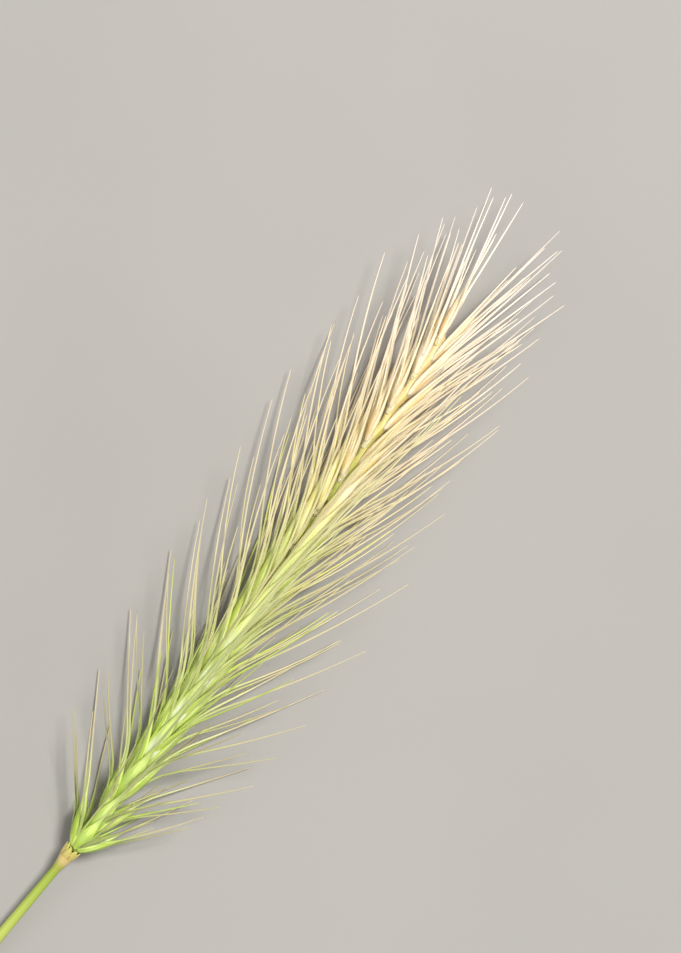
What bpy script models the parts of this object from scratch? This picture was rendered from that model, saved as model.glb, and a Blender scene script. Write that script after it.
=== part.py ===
"""An ear of wall barley, a wheat-like grass, cut with a short stem and laid on a flat surface.

The ear runs along +X from its cut stem to its tips. Every joint of the zigzag rachis carries three
spikelets, by turns on the left and on the right. A spikelet is a slim husk that runs out into a long
awn, between two thinner glume bristles. The bristles below are bent flat where they meet the surface.
"""

import math
import random

import bmesh
import bpy
import numpy as np
from mathutils import Vector

MM = 0.001
UP = Vector((0, 0, 1))
SEED = 11

# The axis is measured in s, from the pale joint where stem and ear meet.
STEM_LENGTH = 30 * MM
STEM_BEND = 1.2
STEM_RADIUS_AT_CUT = 0.76 * MM
STEM_STATIONS = 13
STEM_HOLLOW_RADIUS = 0.34 * MM
STEM_HOLLOW_DEPTH = 3 * MM
STEM_SIDE_SLOPE = -0.07
JOINT_HEIGHT = 3.3 * MM
JOINT_ASIDE = 0.2 * MM
EAR_RISE = 1.9 * MM
EAR_RISE_RUN = 18 * MM
EAR_BOW = 1.15 * MM
EAR_BOW_RUN = 6.5 * MM
EAR_DRIFT = 0.013

# The straw flares below the ear: radius in mm at a distance in mm along the axis.
FLARE_AT = [-2.2, -1.4, -0.6, 0, 0.4]
FLARE_RADIUS = [0.50, 0.61, 0.79, 0.91, 0.94]
GAP = 0.3 * MM

# The rachis and its joints.
RACHIS_START = FLARE_AT[-1] * MM + GAP
FIRST_NODE = 1.25 * MM
NODE_PITCH = 2.3 * MM
NODE_COUNT = 31
GREEN_NODES = 21
RACHIS_TOP = 0.55 * MM
RACHIS_FOOT = 0.46 * MM
RACHIS_STEP = 0.4 * MM
RACHIS_FIRST_FOOT = 0.62 * MM
RACHIS_ZIGZAG = 0.15 * MM
RACHIS_END = 0.8 * MM
STRAW_START = 1.1 * MM
STRAW_FIRST_FOOT = 0.3 * MM

# The first joint carries a triplet on its right too, which counts as number -1.
LOWEST = -1

# What changes from the foot of the ear, at share 0, to its tip, at share 1.
EAR_SHARE = [-0.033, 0, 0.06, 0.14, 0.3, 0.5, 0.7, 0.85, 1]
AWN_REACH = [15.5, 18.5, 24.5, 28.5, 30.5, 31, 28, 24, 18.5]
LEAN_HUSK = [34, 29, 14, 12, 11, 13, 16, 15, 8]
LEAN_SHOULDER = [34, 43, 42, 37, 31, 28, 25, 22, 13]
LEAN_TIP = [28, 40, 38, 31, 21, 16, 15, 19, 14]
HUSK_LENGTH = [5.0, 5.8, 6.8, 7.8, 8.6, 8.5, 7.8, 7.3, 6.6]
HUSK_SIZE = [1.05, 1.15, 1.25, 1.3, 1.22, 1.14, 1.12, 1.08, 0.95]
SIDE_AZIMUTH = [55, 60, 60, 59, 57, 50, 40, 34, 33]
TWIST = [-28, -28, -28, -27, -22, -14, -6, 0, 0]
ROOT_OUT = [0.5, 0.4, 0.3, 0.3, 0.32, 0.4, 0.48, 0.5, 0.46]

# A husk's sections: share of its length, half width and half thickness. The awn follows.
HUSK_STATIONS = [
    (0, 0.30, 0.26),
    (0.22, 0.58, 0.42),
    (0.5, 0.70, 0.50),
    (0.8, 0.45, 0.37),
    (1.08, 0.23, 0.21),
]
AWN_MID = 0.15
INNER_SIDE = 0.7
ROOT_SUNK = 0.35 * MM

# Glume bristles: share of the awn's reach, and how far they turn from the husk that they flank.
GLUME_REACH = 0.68
GLUME_TURN = 17
GLUME_ROOT = 0.3 * MM
GLUME_SIDE_STEP = 0.5 * MM
GLUME_STATIONS = [(0, 0.2), (0.16, 0.25), (0.36, 0.2), (0.66, 0.13)]
GLUME_CORNERS = [(0, 1), (0.87, -0.5), (-0.87, -0.5)]

REACH_SPREAD = 0.11
LEAN_SPREAD = 2.6
TURN_SPREAD = 3.5
SIDE_LEAN = 0.95
LAST_LEAN = 0.3
LOWEST_FRONT_LEAN = 0.45
STEPS = 24
LEAN_AT = [0, 0.17, 0.42, 1]
SETTLE = 1.2 * MM
GREEN_FLOOR = 0.3 * MM
STRAW_FLOOR = 0.55 * MM
FLOOR_SPREAD = 0.06 * MM

# The ear rests on the stem's cut end and on the tips of two awns, each given as (triplet, side).
RESTING_AWNS = ((13, 1), (14, 0))


def joint_at(number):
    return FIRST_NODE + max(0, number) * NODE_PITCH


def along_ear(values, share):
    return float(np.interp(share, EAR_SHARE, values))


def axis_point(s):
    """The axis: the stem comes up off the surface, and the ear bows a little to its right."""
    if s < 0:
        lifted = max(0.0, 1 + s / STEM_LENGTH) ** STEM_BEND
        height = STEM_RADIUS_AT_CUT + (JOINT_HEIGHT - STEM_RADIUS_AT_CUT) * lifted
        return Vector((s, STEM_SIDE_SLOPE * s - JOINT_ASIDE, height))
    bow = (EAR_BOW - JOINT_ASIDE) * (1 - math.exp(-s / EAR_BOW_RUN))
    side = EAR_DRIFT * s - JOINT_ASIDE - bow
    return Vector((s, side, JOINT_HEIGHT + EAR_RISE * (1 - math.exp(-s / EAR_RISE_RUN))))


def axis_frame(s):
    """Point, direction along the ear, and the unit vectors to its left and upwards."""
    here = axis_point(s)
    along = (axis_point(s + 0.1 * MM) - here).normalized()
    left = UP.cross(along).normalized()
    return here, along, left, along.cross(left)


def outward(left, up, azimuth):
    return left * math.cos(math.radians(azimuth)) + up * math.sin(math.radians(azimuth))


def soft_floor(height, floor):
    """The greater of the two, with a smooth bend where they meet."""
    if abs(height - floor) >= SETTLE:
        return max(height, floor)
    return (height + floor) / 2 + (height - floor) ** 2 / (4 * SETTLE) + SETTLE / 4


def grow(root, along, out, leans, reach, floor, aside=Vector()):
    """A bristle's line, as STEPS + 1 points. It leans out from the axis and settles on the floor.

    Where it starts inside a husk, it comes out of it sideways by the vector aside.
    """
    points = [root]
    for step in range(STEPS):
        lean = math.radians(np.interp((step + 0.5) / STEPS, LEAN_AT, leans))
        points.append(points[-1] + (along * math.cos(lean) + out * math.sin(lean)) * (reach / STEPS))
    for step, point in enumerate(points):
        point += aside * min(1, step / STEPS / GLUME_STATIONS[1][0])
        point.z = soft_floor(point.z, floor + AWN_MID * MM)
    return points


def section(points, share, out):
    """Point, outward and sideways unit vectors of a line at a share of its length."""
    at = min(share * STEPS, STEPS - 1e-6)
    i = int(at)
    here = points[i].lerp(points[i + 1], at - i)
    ahead = (points[i + 1] - points[i]).normalized()
    out = (out - ahead * out.dot(ahead)).normalized()
    return here, out, ahead.cross(out)


def bend_to_surface(points):
    """Lowers the outer part of a line until its tip is at height 0."""
    drop = points[-1].z
    for i, point in enumerate(points):
        point.z -= drop * (i / STEPS) ** 3


def raised(points, floor):
    """The same points, none of them under the floor."""
    return [Vector((p.x, p.y, max(p.z, floor))) for p in points]


def new_object(name, mesh, collection):
    thing = bpy.data.objects.new(name, mesh)
    collection.objects.link(thing)
    return thing


def loft(name, rings, tip, collection):
    """A closed solid through equal rings, with a flat foot and a pointed tip."""
    shape = bmesh.new()
    loops = [[shape.verts.new(p) for p in ring] for ring in rings]
    point = shape.verts.new(tip)
    count = len(rings[0])
    for i in range(count):
        j = (i + 1) % count
        for lower, upper in zip(loops, loops[1:]):
            shape.faces.new((lower[i], lower[j], upper[j], upper[i]))
        shape.faces.new((loops[-1][i], loops[-1][j], point))
    shape.faces.new(reversed(loops[0]))
    bmesh.ops.recalc_face_normals(shape, faces=shape.faces)
    mesh = bpy.data.meshes.new(name)
    shape.to_mesh(mesh)
    shape.free()
    return new_object(name, mesh, collection)


def husk_with_awn(name, points, out, husk_share, size, floor, collection):
    """A four-sided husk, keeled outwards, that tapers into its awn."""
    stations = [(share * husk_share, wide, thick) for share, wide, thick in HUSK_STATIONS]
    stations.append((1.08 * husk_share * 0.4 + 0.6, AWN_MID, AWN_MID))
    rings = []
    for share, wide, thick in stations:
        here, outer, side = section(points, share, out)
        wide *= size * MM
        thick *= size * MM
        corners = (outer * thick, side * wide, -outer * thick * INNER_SIDE, -side * wide)
        rings.append(raised([here + corner for corner in corners], floor))
    return loft(name, rings, points[-1], collection)


def glume_bristle(name, points, out, floor, collection):
    """A three-sided bristle that starts inside the husk's foot and runs beside it."""
    rings = []
    for share, half in GLUME_STATIONS:
        here, outer, side = section(points, share, out)
        ring = [here + (side * across + outer * over) * half * MM for across, over in GLUME_CORNERS]
        rings.append(raised(ring, floor))
    return loft(name, rings, points[-1], collection)


def spikelet(name, number, azimuth, lean_scale, glume_turns, resting, floor, draw, collection):
    """One husk with its awn, and its glume bristles."""
    share = number / (NODE_COUNT - 1)
    here, along, left, up = axis_frame(joint_at(number))
    azimuth += draw.uniform(-TURN_SPREAD, TURN_SPREAD)
    out = outward(left, up, azimuth)
    change = draw.uniform(-LEAN_SPREAD, LEAN_SPREAD)
    leans = [along_ear(LEAN_HUSK, share) * lean_scale] * 2
    leans += [along_ear(row, share) * lean_scale + change for row in (LEAN_SHOULDER, LEAN_TIP)]
    reach = along_ear(AWN_REACH, share) * MM * (1 + draw.uniform(-REACH_SPREAD, REACH_SPREAD))
    husk_share = along_ear(HUSK_LENGTH, share) * MM / reach
    root = here + out * along_ear(ROOT_OUT, share) * MM - along * ROOT_SUNK
    floor += draw.uniform(0, FLOOR_SPREAD)
    line = grow(root, along, out, leans, reach, floor)
    if resting:
        bend_to_surface(line)
    husk_floor = 0 if resting else floor
    husk_with_awn(name + "_husk", line, out, husk_share, along_ear(HUSK_SIZE, share), husk_floor, collection)
    for turn in glume_turns:
        turned = outward(left, up, azimuth + turn + draw.uniform(-TURN_SPREAD, TURN_SPREAD) / 2)
        sideways = (turned - out * turned.dot(out)).normalized()
        glume_leans = [lean + draw.uniform(0, 2 * LEAN_SPREAD) for lean in leans]
        glume_reach = reach * (GLUME_REACH + draw.uniform(-REACH_SPREAD, REACH_SPREAD))
        floor += draw.uniform(0, FLOOR_SPREAD)
        inside = root + along * GLUME_ROOT + turned * GLUME_ROOT / 3
        glume_line = grow(inside, along, turned, glume_leans, glume_reach, floor, sideways * GLUME_SIDE_STEP)
        glume_bristle(f"{name}_glume_{turn:+d}", glume_line, turned, floor, collection)


def triplet(number, floor, draw, collection):
    """Three spikelets side by side on one joint of the rachis."""
    share = number / (NODE_COUNT - 1)
    middle = along_ear(TWIST, share) + (0 if number % 2 == 0 else 180)
    spread = along_ear(SIDE_AZIMUTH, share)
    last = number == NODE_COUNT - 1
    name = f"triplet_{number:+03d}"
    for side in (0, -1, 1):
        azimuth = middle + side * spread
        lean_scale = SIDE_LEAN if side else LAST_LEAN if last else 1.0
        if (number, side) == (LOWEST, -1):
            lean_scale = LOWEST_FRONT_LEAN
        turns = (side * GLUME_TURN, -side * GLUME_TURN) if side else ()
        resting = (number, side) in RESTING_AWNS
        spikelet(f"{name}_{side:+d}", number, azimuth, lean_scale, turns, resting, floor, draw, collection)


def node_point(number):
    """A joint of the rachis, on the side where it carries its spikelets."""
    here, _, left, up = axis_frame(joint_at(number))
    middle = along_ear(TWIST, number / (NODE_COUNT - 1)) + (0 if number % 2 == 0 else 180)
    return here + outward(left, up, middle) * RACHIS_ZIGZAG


def rachis(name, first, last, start, collection):
    """The zigzag stalk inside the ear: each length is narrow at its foot and wide at its top."""
    rings = []
    foot = axis_point(start)
    foot_half = RACHIS_FIRST_FOOT if first == 0 else STRAW_FIRST_FOOT
    for number in range(first, last + 1):
        top = node_point(number)
        _, along, left, up = axis_frame(top.x)
        for point, half in ((foot, foot_half), (top, RACHIS_TOP)):
            rings.append([point + (left * a + up * b) * half for a, b in ((1, 0), (0, 1), (-1, 0), (0, -1))])
        foot = top + along * RACHIS_STEP
        foot_half = RACHIS_FOOT
    return loft(name, rings, top + along * RACHIS_END, collection)


def outer_shell(mesh):
    """Leaves only the largest connected shell: sealed hollows are filled and loose scraps dropped."""
    shape = bmesh.new()
    shape.from_mesh(mesh)
    shells = []
    unseen = set(shape.verts)
    while unseen:
        reached = {unseen.pop()}
        edge_of_growth = list(reached)
        while edge_of_growth:
            vertex = edge_of_growth.pop()
            for edge in vertex.link_edges:
                other = edge.other_vert(vertex)
                if other not in reached:
                    reached.add(other)
                    edge_of_growth.append(other)
        unseen -= reached
        shells.append(reached)
    largest = max(shells, key=len)
    bmesh.ops.delete(shape, geom=[v for v in shape.verts if v not in largest], context="VERTS")
    shape.to_mesh(mesh)
    shape.free()
    return [len(shell) for shell in shells]


def fused(name, trunk, pieces, colour):
    """The trunk joined with every piece of a collection into one solid."""
    join = trunk.modifiers.new("join", "BOOLEAN")
    join.operation = "UNION"
    join.operand_type = "COLLECTION"
    join.collection = pieces
    join.solver = "MANIFOLD"
    bpy.context.view_layer.update()
    graph = bpy.context.evaluated_depsgraph_get()
    mesh = bpy.data.meshes.new_from_object(trunk.evaluated_get(graph))
    trunk.modifiers.clear()
    print(name, "shells", outer_shell(mesh))
    trunk.data = mesh
    trunk.name = name
    for piece in list(pieces.objects):
        bpy.data.objects.remove(piece)
    bpy.data.collections.remove(pieces)
    finish(trunk, colour)
    return trunk


def zone(name, numbers, start, floor, draw, colour, collection):
    """A stretch of the ear that has one colour: its rachis with all its spikelets."""
    pieces = bpy.data.collections.new(name + "_pieces")
    bpy.context.scene.collection.children.link(pieces)
    for number in numbers:
        triplet(number, floor, draw, pieces)
    if numbers[0] == 0:
        triplet(LOWEST, floor, random.Random(SEED + 1), pieces)
    trunk = rachis(name, numbers[0], numbers[-1], start, collection)
    return fused(name, trunk, pieces, colour)


def finish(thing, colour, roughness=0.55):
    material = bpy.data.materials.new(thing.name)
    material.use_nodes = True
    shader = material.node_tree.nodes["Principled BSDF"]
    shader.inputs["Base Color"].default_value = (*colour, 1)
    shader.inputs["Roughness"].default_value = roughness
    shader.inputs["Metallic"].default_value = 0
    thing.data.materials.clear()
    thing.data.materials.append(material)


def stem(collection, cutters):
    """The cut straw: it tapers towards the ear, flares just below it, and is hollow where it was cut."""
    curve = bpy.data.curves.new("stem", "CURVE")
    curve.dimensions = "3D"
    curve.bevel_depth = STEM_RADIUS_AT_CUT
    curve.bevel_resolution = 2
    curve.use_fill_caps = True
    line = curve.splines.new("POLY")
    flare = FLARE_AT[0] * MM
    stations = list(np.linspace(-STEM_LENGTH, flare, STEM_STATIONS)) + [s * MM for s in FLARE_AT[1:]]
    radii = list(np.linspace(STEM_RADIUS_AT_CUT, FLARE_RADIUS[0] * MM, STEM_STATIONS))
    radii += [radius * MM for radius in FLARE_RADIUS[1:]]
    line.points.add(len(stations) - 1)
    for point, s, radius in zip(line.points, stations, radii):
        point.co = (*axis_point(s), 1)
        point.radius = radius / STEM_RADIUS_AT_CUT
    guide = new_object("stem_guide", curve, collection)
    graph = bpy.context.evaluated_depsgraph_get()
    mesh = bpy.data.meshes.new_from_object(guide.evaluated_get(graph))
    bpy.data.objects.remove(guide)
    shape = bmesh.new()
    shape.from_mesh(mesh)
    bmesh.ops.remove_doubles(shape, verts=shape.verts, dist=0.001 * MM)
    shape.to_mesh(mesh)
    shape.free()
    straw = new_object("stem", mesh, collection)
    bpy.ops.mesh.primitive_cylinder_add(
        vertices=8,
        radius=STEM_HOLLOW_RADIUS,
        depth=2 * STEM_HOLLOW_DEPTH,
        location=axis_point(-STEM_LENGTH),
        rotation=(0, math.pi / 2, math.atan(STEM_SIDE_SLOPE)),
    )
    cutter = bpy.context.object
    cutter.name = "stem_hollow"
    cutter.hide_render = True
    cutter.display_type = "WIRE"
    for holder in list(cutter.users_collection):
        holder.objects.unlink(cutter)
    cutters.objects.link(cutter)
    hollow = straw.modifiers.new("hollow", "BOOLEAN")
    hollow.operation = "DIFFERENCE"
    hollow.object = cutter
    finish(straw, (0.40, 0.52, 0.14))
    return straw


def centre_over_origin(things, cutters):
    """Moves the ear so that the middle of its bounding box stands over the origin, lowest point at 0."""
    bpy.context.view_layer.update()
    graph = bpy.context.evaluated_depsgraph_get()
    corners = []
    for thing in things:
        seen = thing.evaluated_get(graph)
        mesh = seen.to_mesh()
        corners += [seen.matrix_world @ vertex.co for vertex in mesh.vertices]
        seen.to_mesh_clear()
    low = Vector([min(p[i] for p in corners) for i in range(3)])
    high = Vector([max(p[i] for p in corners) for i in range(3)])
    middle = (low + high) / 2
    move = Vector((-middle.x, -middle.y, -low.z))
    for thing in things + cutters:
        thing.location += move
    return move


def main():
    for thing in list(bpy.data.objects):
        bpy.data.objects.remove(thing)
    parts = bpy.data.collections.new("wall_barley_ear")
    cutters = bpy.data.collections.new("cutters")
    for collection in (parts, cutters):
        bpy.context.scene.collection.children.link(collection)
    draw = random.Random(SEED)
    split = FIRST_NODE + GREEN_NODES * NODE_PITCH
    green = range(GREEN_NODES)
    straw = range(GREEN_NODES, NODE_COUNT)
    things = [
        stem(parts, cutters),
        zone("ear_green", green, RACHIS_START, GREEN_FLOOR, draw, (0.42, 0.50, 0.13), parts),
        zone("ear_straw", straw, split - STRAW_START, STRAW_FLOOR, draw, (0.72, 0.58, 0.32), parts),
    ]
    move = centre_over_origin(things, list(cutters.objects))
    print("moved by", [round(x / MM, 3) for x in move], "mm")


main()
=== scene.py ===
"""The wall barley ear as it looks: finer husks, awns, hairs and colours in place of the plain solids."""

import math
import random

import bpy
import numpy as np
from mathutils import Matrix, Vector


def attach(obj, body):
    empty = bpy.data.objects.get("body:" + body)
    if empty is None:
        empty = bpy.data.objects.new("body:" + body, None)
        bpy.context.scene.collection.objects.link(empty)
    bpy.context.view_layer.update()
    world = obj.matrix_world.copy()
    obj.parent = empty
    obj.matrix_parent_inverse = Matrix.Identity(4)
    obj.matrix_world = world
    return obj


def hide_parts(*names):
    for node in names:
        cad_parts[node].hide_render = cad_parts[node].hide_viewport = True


MM = 0.001
UP = Vector((0, 0, 1))

# SEED places what the solids have too, and FINE_SEED only what this scene adds.
SEED = 11
FINE_SEED = 5

# The ear is built from the joint where stem and ear meet, and moved so that its box is centred.
EAR_SHIFT = Vector((-28.998 * MM, 0.876 * MM, 0))

# The axis is measured in s, from that joint. FLARE_RADIUS is in mm, at FLARE_AT mm along the axis.
AXIS_STEP = 0.1 * MM
STEM_LENGTH = 30 * MM
STEM_BEND = 1.2
STEM_RADIUS_AT_CUT = 0.76 * MM
STEM_HOLLOW_RADIUS = 0.34 * MM
STEM_HOLLOW_DEPTH = 3 * MM
STEM_SIDE_SLOPE = -0.07
JOINT_HEIGHT = 3.3 * MM
JOINT_ASIDE = 0.2 * MM
EAR_RISE = 1.9 * MM
EAR_RISE_RUN = 18 * MM
EAR_BOW = 1.15 * MM
EAR_BOW_RUN = 6.5 * MM
EAR_DRIFT = 0.013
FLARE_AT = [-2.2, -1.4, -0.6, 0, 0.4]
FLARE_RADIUS = [0.50, 0.61, 0.79, 0.91, 0.94]
GAP = 0.3 * MM

# The rachis and its joints.
RACHIS_START = FLARE_AT[-1] * MM + GAP
FIRST_NODE = 1.25 * MM
NODE_PITCH = 2.3 * MM
NODE_COUNT = 31
GREEN_NODES = 21
RACHIS_TOP = 0.55 * MM
RACHIS_FOOT = 0.46 * MM
RACHIS_STEP = 0.4 * MM
RACHIS_FIRST_FOOT = 0.62 * MM
RACHIS_ZIGZAG = 0.15 * MM
RACHIS_END = 0.8 * MM
STRAW_START = 1.1 * MM
STRAW_FIRST_FOOT = 0.3 * MM

# The first joint carries a triplet on its right too, which counts as number -1.
LOWEST = -1

# What changes from the foot of the ear, at share 0, to its tip, at share 1, in mm and degrees.
EAR_SHARE = [-0.033, 0, 0.06, 0.14, 0.3, 0.5, 0.7, 0.85, 1]
AWN_REACH = [15.5, 18.5, 24.5, 28.5, 30.5, 31, 28, 24, 18.5]
LEAN_HUSK = [34, 29, 14, 12, 11, 13, 16, 15, 8]
LEAN_SHOULDER = [34, 43, 42, 37, 31, 28, 25, 22, 13]
LEAN_TIP = [28, 40, 38, 31, 21, 16, 15, 19, 14]
HUSK_LENGTH = [5.0, 5.8, 6.8, 7.8, 8.6, 8.5, 7.8, 7.3, 6.6]
HUSK_SIZE = [1.05, 1.15, 1.25, 1.3, 1.22, 1.14, 1.12, 1.08, 0.95]
SIDE_AZIMUTH = [55, 60, 60, 59, 57, 50, 40, 34, 33]
TWIST = [-28, -28, -28, -27, -22, -14, -6, 0, 0]
ROOT_OUT = [0.5, 0.4, 0.3, 0.3, 0.32, 0.4, 0.48, 0.5, 0.46]

# A husk's form: share of its length, half width and half thickness in mm. The awn follows.
HUSK_AT = [0, 0.06, 0.13, 0.2, 0.28, 0.38, 0.5, 0.6, 0.7, 0.8, 0.9, 1, 1.1, 1.25]
HUSK_WIDE = [0.16, 0.33, 0.47, 0.58, 0.66, 0.71, 0.70, 0.63, 0.53, 0.41, 0.29, 0.20, 0.15, 0.12]
HUSK_THICK = [0.14, 0.27, 0.36, 0.43, 0.48, 0.50, 0.50, 0.46, 0.40, 0.32, 0.24, 0.17, 0.135, 0.11]
HUSK_SIDES = 16
RIB = 0.06
RIB_RISE = 8
RIB_FALL = 4
INNER_SIDE = 0.7
ROOT_SUNK = 0.35 * MM

# The awn beyond the husk: its half widths in mm. It has AWN_FINE at a share AWN_FINE_AT of its length.
AWN_RINGS = 13
AWN_MID = 0.15
AWN_FINE = 0.088
AWN_FINE_AT = 0.6
AWN_END = 0.042
AWN_LAST = 0.985

# The draws of colour. Husks that face up, with an upward share above the threshold below, get a fixed tone
# that marks them for a painted highlight.
RIPE_SPREAD = 0.05
TONE_SHARE = 0.85
HIGHLIGHT_UPWARD = 0.8
HIGHLIGHT_TONE = 1.0
HIGHLIGHT_TONE_RANGE = (0.9, 0.98)

# The thin glume bristles beside each side husk: share of their line and half width in mm.
GLUME_REACH = 0.68
GLUME_TURN = 17
GLUME_ROOT = 0.3 * MM
GLUME_SIDE_STEP = 0.5 * MM
GLUME_AT = [0, 0.05, 0.1, 0.16, 0.25, 0.36, 0.5, 0.66, 0.8, 0.9, 0.98]
GLUME_HALF = [0.14, 0.18, 0.20, 0.19, 0.165, 0.135, 0.11, 0.09, 0.075, 0.06, 0.04]
GLUME_SIDES = 8
GLUME_CLEAR = 0.16

# The line of a husk or bristle: its seeded spread, its leans in degrees, and how it settles on the floor.
REACH_SPREAD = 0.11
LEAN_SPREAD = 2.6
TURN_SPREAD = 3.5
SIDE_LEAN = 0.95
LAST_LEAN = 0.3
LOWEST_FRONT_LEAN = 0.45
STEPS = 24
LEAN_AT = [0, 0.17, 0.42, 1]
SETTLE = 1.2 * MM
GREEN_FLOOR = 0.3 * MM
STRAW_FLOOR = 0.55 * MM
FLOOR_SPREAD = 0.06 * MM
RESTING_AWNS = ((13, 1), (14, 0))

# The flat glumes beside each middle husk, which only show from near by: widths and thicknesses in mm.
BLADE_TURN = 24
BLADE_REACH = 0.7
BLADE_SIDE_STEP = 0.55 * MM
BLADE_AT = [0, 0.04, 0.09, 0.15, 0.22, 0.3, 0.4, 0.52, 0.66, 0.8, 0.9, 0.98]
BLADE_WIDE = [0.16, 0.27, 0.34, 0.36, 0.32, 0.24, 0.17, 0.13, 0.1, 0.08, 0.065, 0.04]
BLADE_THICK = [0.1, 0.11, 0.12, 0.12, 0.12, 0.11, 0.1, 0.09, 0.08, 0.07, 0.06, 0.04]

# A fine hair, and the fringe of hairs along a flat glume: shares of the glume's line, lengths in mm.
HAIR_RADIUS = 0.022 * MM
HAIR_FLOOR = 0.9 * MM
HAIR_SIDES = 3
HAIR_RINGS = (0, 0.55)
HAIR_TAPER = 0.35
HAIR_STEEP = 0.9
FRINGE_FIRST = 0.03
FRINGE_LAST = 0.34
FRINGE_STEP = (0.008, 0.014)
FRINGE_ROOT = 0.85
FRINGE_AHEAD = (0.7, 1.1)
FRINGE_ASIDE = (0.6, 1.0)
FRINGE_LENGTH = (0.45, 0.85)
FRINGE_DROOP = (0.1, 0.35)

# The teeth on the awns: length in mm, and the step between them as a share of the awn's line.
BARB_LENGTH = (0.16, 0.26)
BARB_RADIUS = 0.028 * MM
BARB_STEP = (0.02, 0.04)
BARB_LAST = 0.94
BARB_FLOOR = 0.6 * MM
BARB_LEAN = 0.4
BARB_ROOT = 0.6
BARB_REACH = 1.8
FIRST_BARBED = 5

# The stalk between the joints: its rings as shares of one length, its ridges and its hairs.
RACHIS_AT = (0, 0.3, 0.6, 0.85, 1)
RACHIS_SIDES = 12
RACHIS_RIB = 0.04
RACHIS_BROAD = 1.2
RACHIS_FLAT = 0.8
RACHIS_HAIRS = 26
RACHIS_HAIR_AT = (0.15, 1)
RACHIS_HAIR_UP = (-0.5, 0.9)
RACHIS_HAIR_AHEAD = (0.4, 1.2)
RACHIS_HAIR_ROOT = 0.75
RACHIS_HAIR_LENGTH = (0.3, 0.6)

# The glassy scales, in mm where they lie on a joint.
FIRST_SCALE = 12
SCALE_LIFT = 0.36
SCALE_BACK = 1.0
SCALE_LEFT = 0.13
SCALE_TURN = 0.03
SCALE_TILT = 0.07
SCALE_LENGTH = (1.8, 2.2)
SCALE_AT = (0, 0.08, 0.2, 0.4, 0.65, 0.85, 0.95)
SCALE_WIDE = (0.12, 0.23, 0.3, 0.33, 0.3, 0.2, 0.1)
SCALE_SIDES = 16
SCALE_THICK = 0.03
SCALE_DOME = 0.16
SCALE_FLUTE = 0.25
SCALE_HAIRS = 22
SCALE_HAIR_AT = (0.05, 0.85)
SCALE_HAIR_ASIDE = (-1, 0.6)
SCALE_HAIR_LIFT = 0.03
SCALE_HAIR_ACROSS = (0.5, 1)
SCALE_HAIR_AHEAD = (0.2, 0.7)
SCALE_HAIR_UP = 0.1
SCALE_HAIR_LENGTH = (0.25, 0.5)

# The stem's ridges, its cut and its cup, and the lobes of the cup's rim in mm. The lobes' colour lies
# beyond the stem's, by RIM_BEYOND at their tips.
STEM_SIDES = 32
STEM_RIDGE = 0.025
STEM_RINGS = 34
STEM_TONE = 0.5
STEM_GRAIN = 900.0
FLARE_RINGS = 16
FLARE_SMOOTH = 1 * MM
HOLLOW_MOUTH = 0.02 * MM
HOLLOW_BEVEL = 0.03 * MM
CUT_BEVEL = 0.04 * MM
CUP_FLOOR = 0.86
CUP_RISE = 0.04 * MM
CUP_TOP = 0.05 * MM
RIM_LOBES = 9
RIM_SPREAD = 0.2
RIM_SIDES = 8
RIM_BEYOND = 0.5
RIM_RADIUS = FLARE_RADIUS[-1]
RIM_FOOT = -0.7
RIM_SUNK = 0.14
RIM_THICK = 0.045
RIM_LENGTH = (1.6, 2.3)
RIM_LEAN = (0.02, 0.16)
RIM_AT = (0, 0.25, 0.5, 0.75, 0.92)
RIM_WIDE = (0.42, 0.5, 0.46, 0.32, 0.14)

# The stage: sizes in metres, and each lamp's name, place, diameter and power in watts. The camera looks
# straight down on the ear, turned so that it points to the upper right.
FLOOR_SIDE = 3
FLOOR_DROP = 0.05 * MM
FLOOR_GRAIN = 60.0
WORLD_LIGHT = 0.34
LAMPS = (
    ("key", (0.5, -0.16, 1.0), 0.3, 15),
    ("fill", (-0.6, 0.5, 0.9), 0.9, 3),
)
CAMERA_ALONG = 51.5 * MM
CAMERA_HEIGHT = 5.2 * MM + 0.291
CAMERA_TURN = -54
CAMERA_LENS = 99.93
CAMERA_SENSOR = 36
CAMERA_NEAR = 0.01

# Values that the materials read at each point of a mesh: how far along the ear its shoot grows, how far
# along its shoot the point is, a seeded draw for each shoot (a fixed tone on husks that face up, which marks
# their painted highlight), and how far round it is from the outer side.
VALUES = ("ripe", "reach", "tone", "edge")
REACH_AT_TIP = 2
HALFWAY_ROUND = 0.5
STREAK_APART = 90
BUMP_STRENGTH = 0.4

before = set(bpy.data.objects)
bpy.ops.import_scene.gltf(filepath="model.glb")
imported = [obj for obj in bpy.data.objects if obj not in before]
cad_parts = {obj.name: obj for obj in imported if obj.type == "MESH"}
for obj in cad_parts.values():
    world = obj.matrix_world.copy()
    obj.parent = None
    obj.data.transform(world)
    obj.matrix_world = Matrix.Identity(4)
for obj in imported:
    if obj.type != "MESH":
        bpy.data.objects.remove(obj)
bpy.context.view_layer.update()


def joint_at(number):
    """Where a joint lies on the axis. The triplet numbered LOWEST shares the first one."""
    return FIRST_NODE + max(0, number) * NODE_PITCH


def along_ear(values, share):
    """The value at a share of the ear's length, from a list that goes with EAR_SHARE."""
    return float(np.interp(share, EAR_SHARE, values))


def axis_point(s):
    """The axis: the stem comes up off the surface, and the ear bows a little to its right."""
    if s < 0:
        lifted = max(0.0, 1 + s / STEM_LENGTH) ** STEM_BEND
        height = STEM_RADIUS_AT_CUT + (JOINT_HEIGHT - STEM_RADIUS_AT_CUT) * lifted
        return Vector((s, STEM_SIDE_SLOPE * s - JOINT_ASIDE, height))
    bow = (EAR_BOW - JOINT_ASIDE) * (1 - math.exp(-s / EAR_BOW_RUN))
    side = EAR_DRIFT * s - JOINT_ASIDE - bow
    return Vector((s, side, JOINT_HEIGHT + EAR_RISE * (1 - math.exp(-s / EAR_RISE_RUN))))


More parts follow.
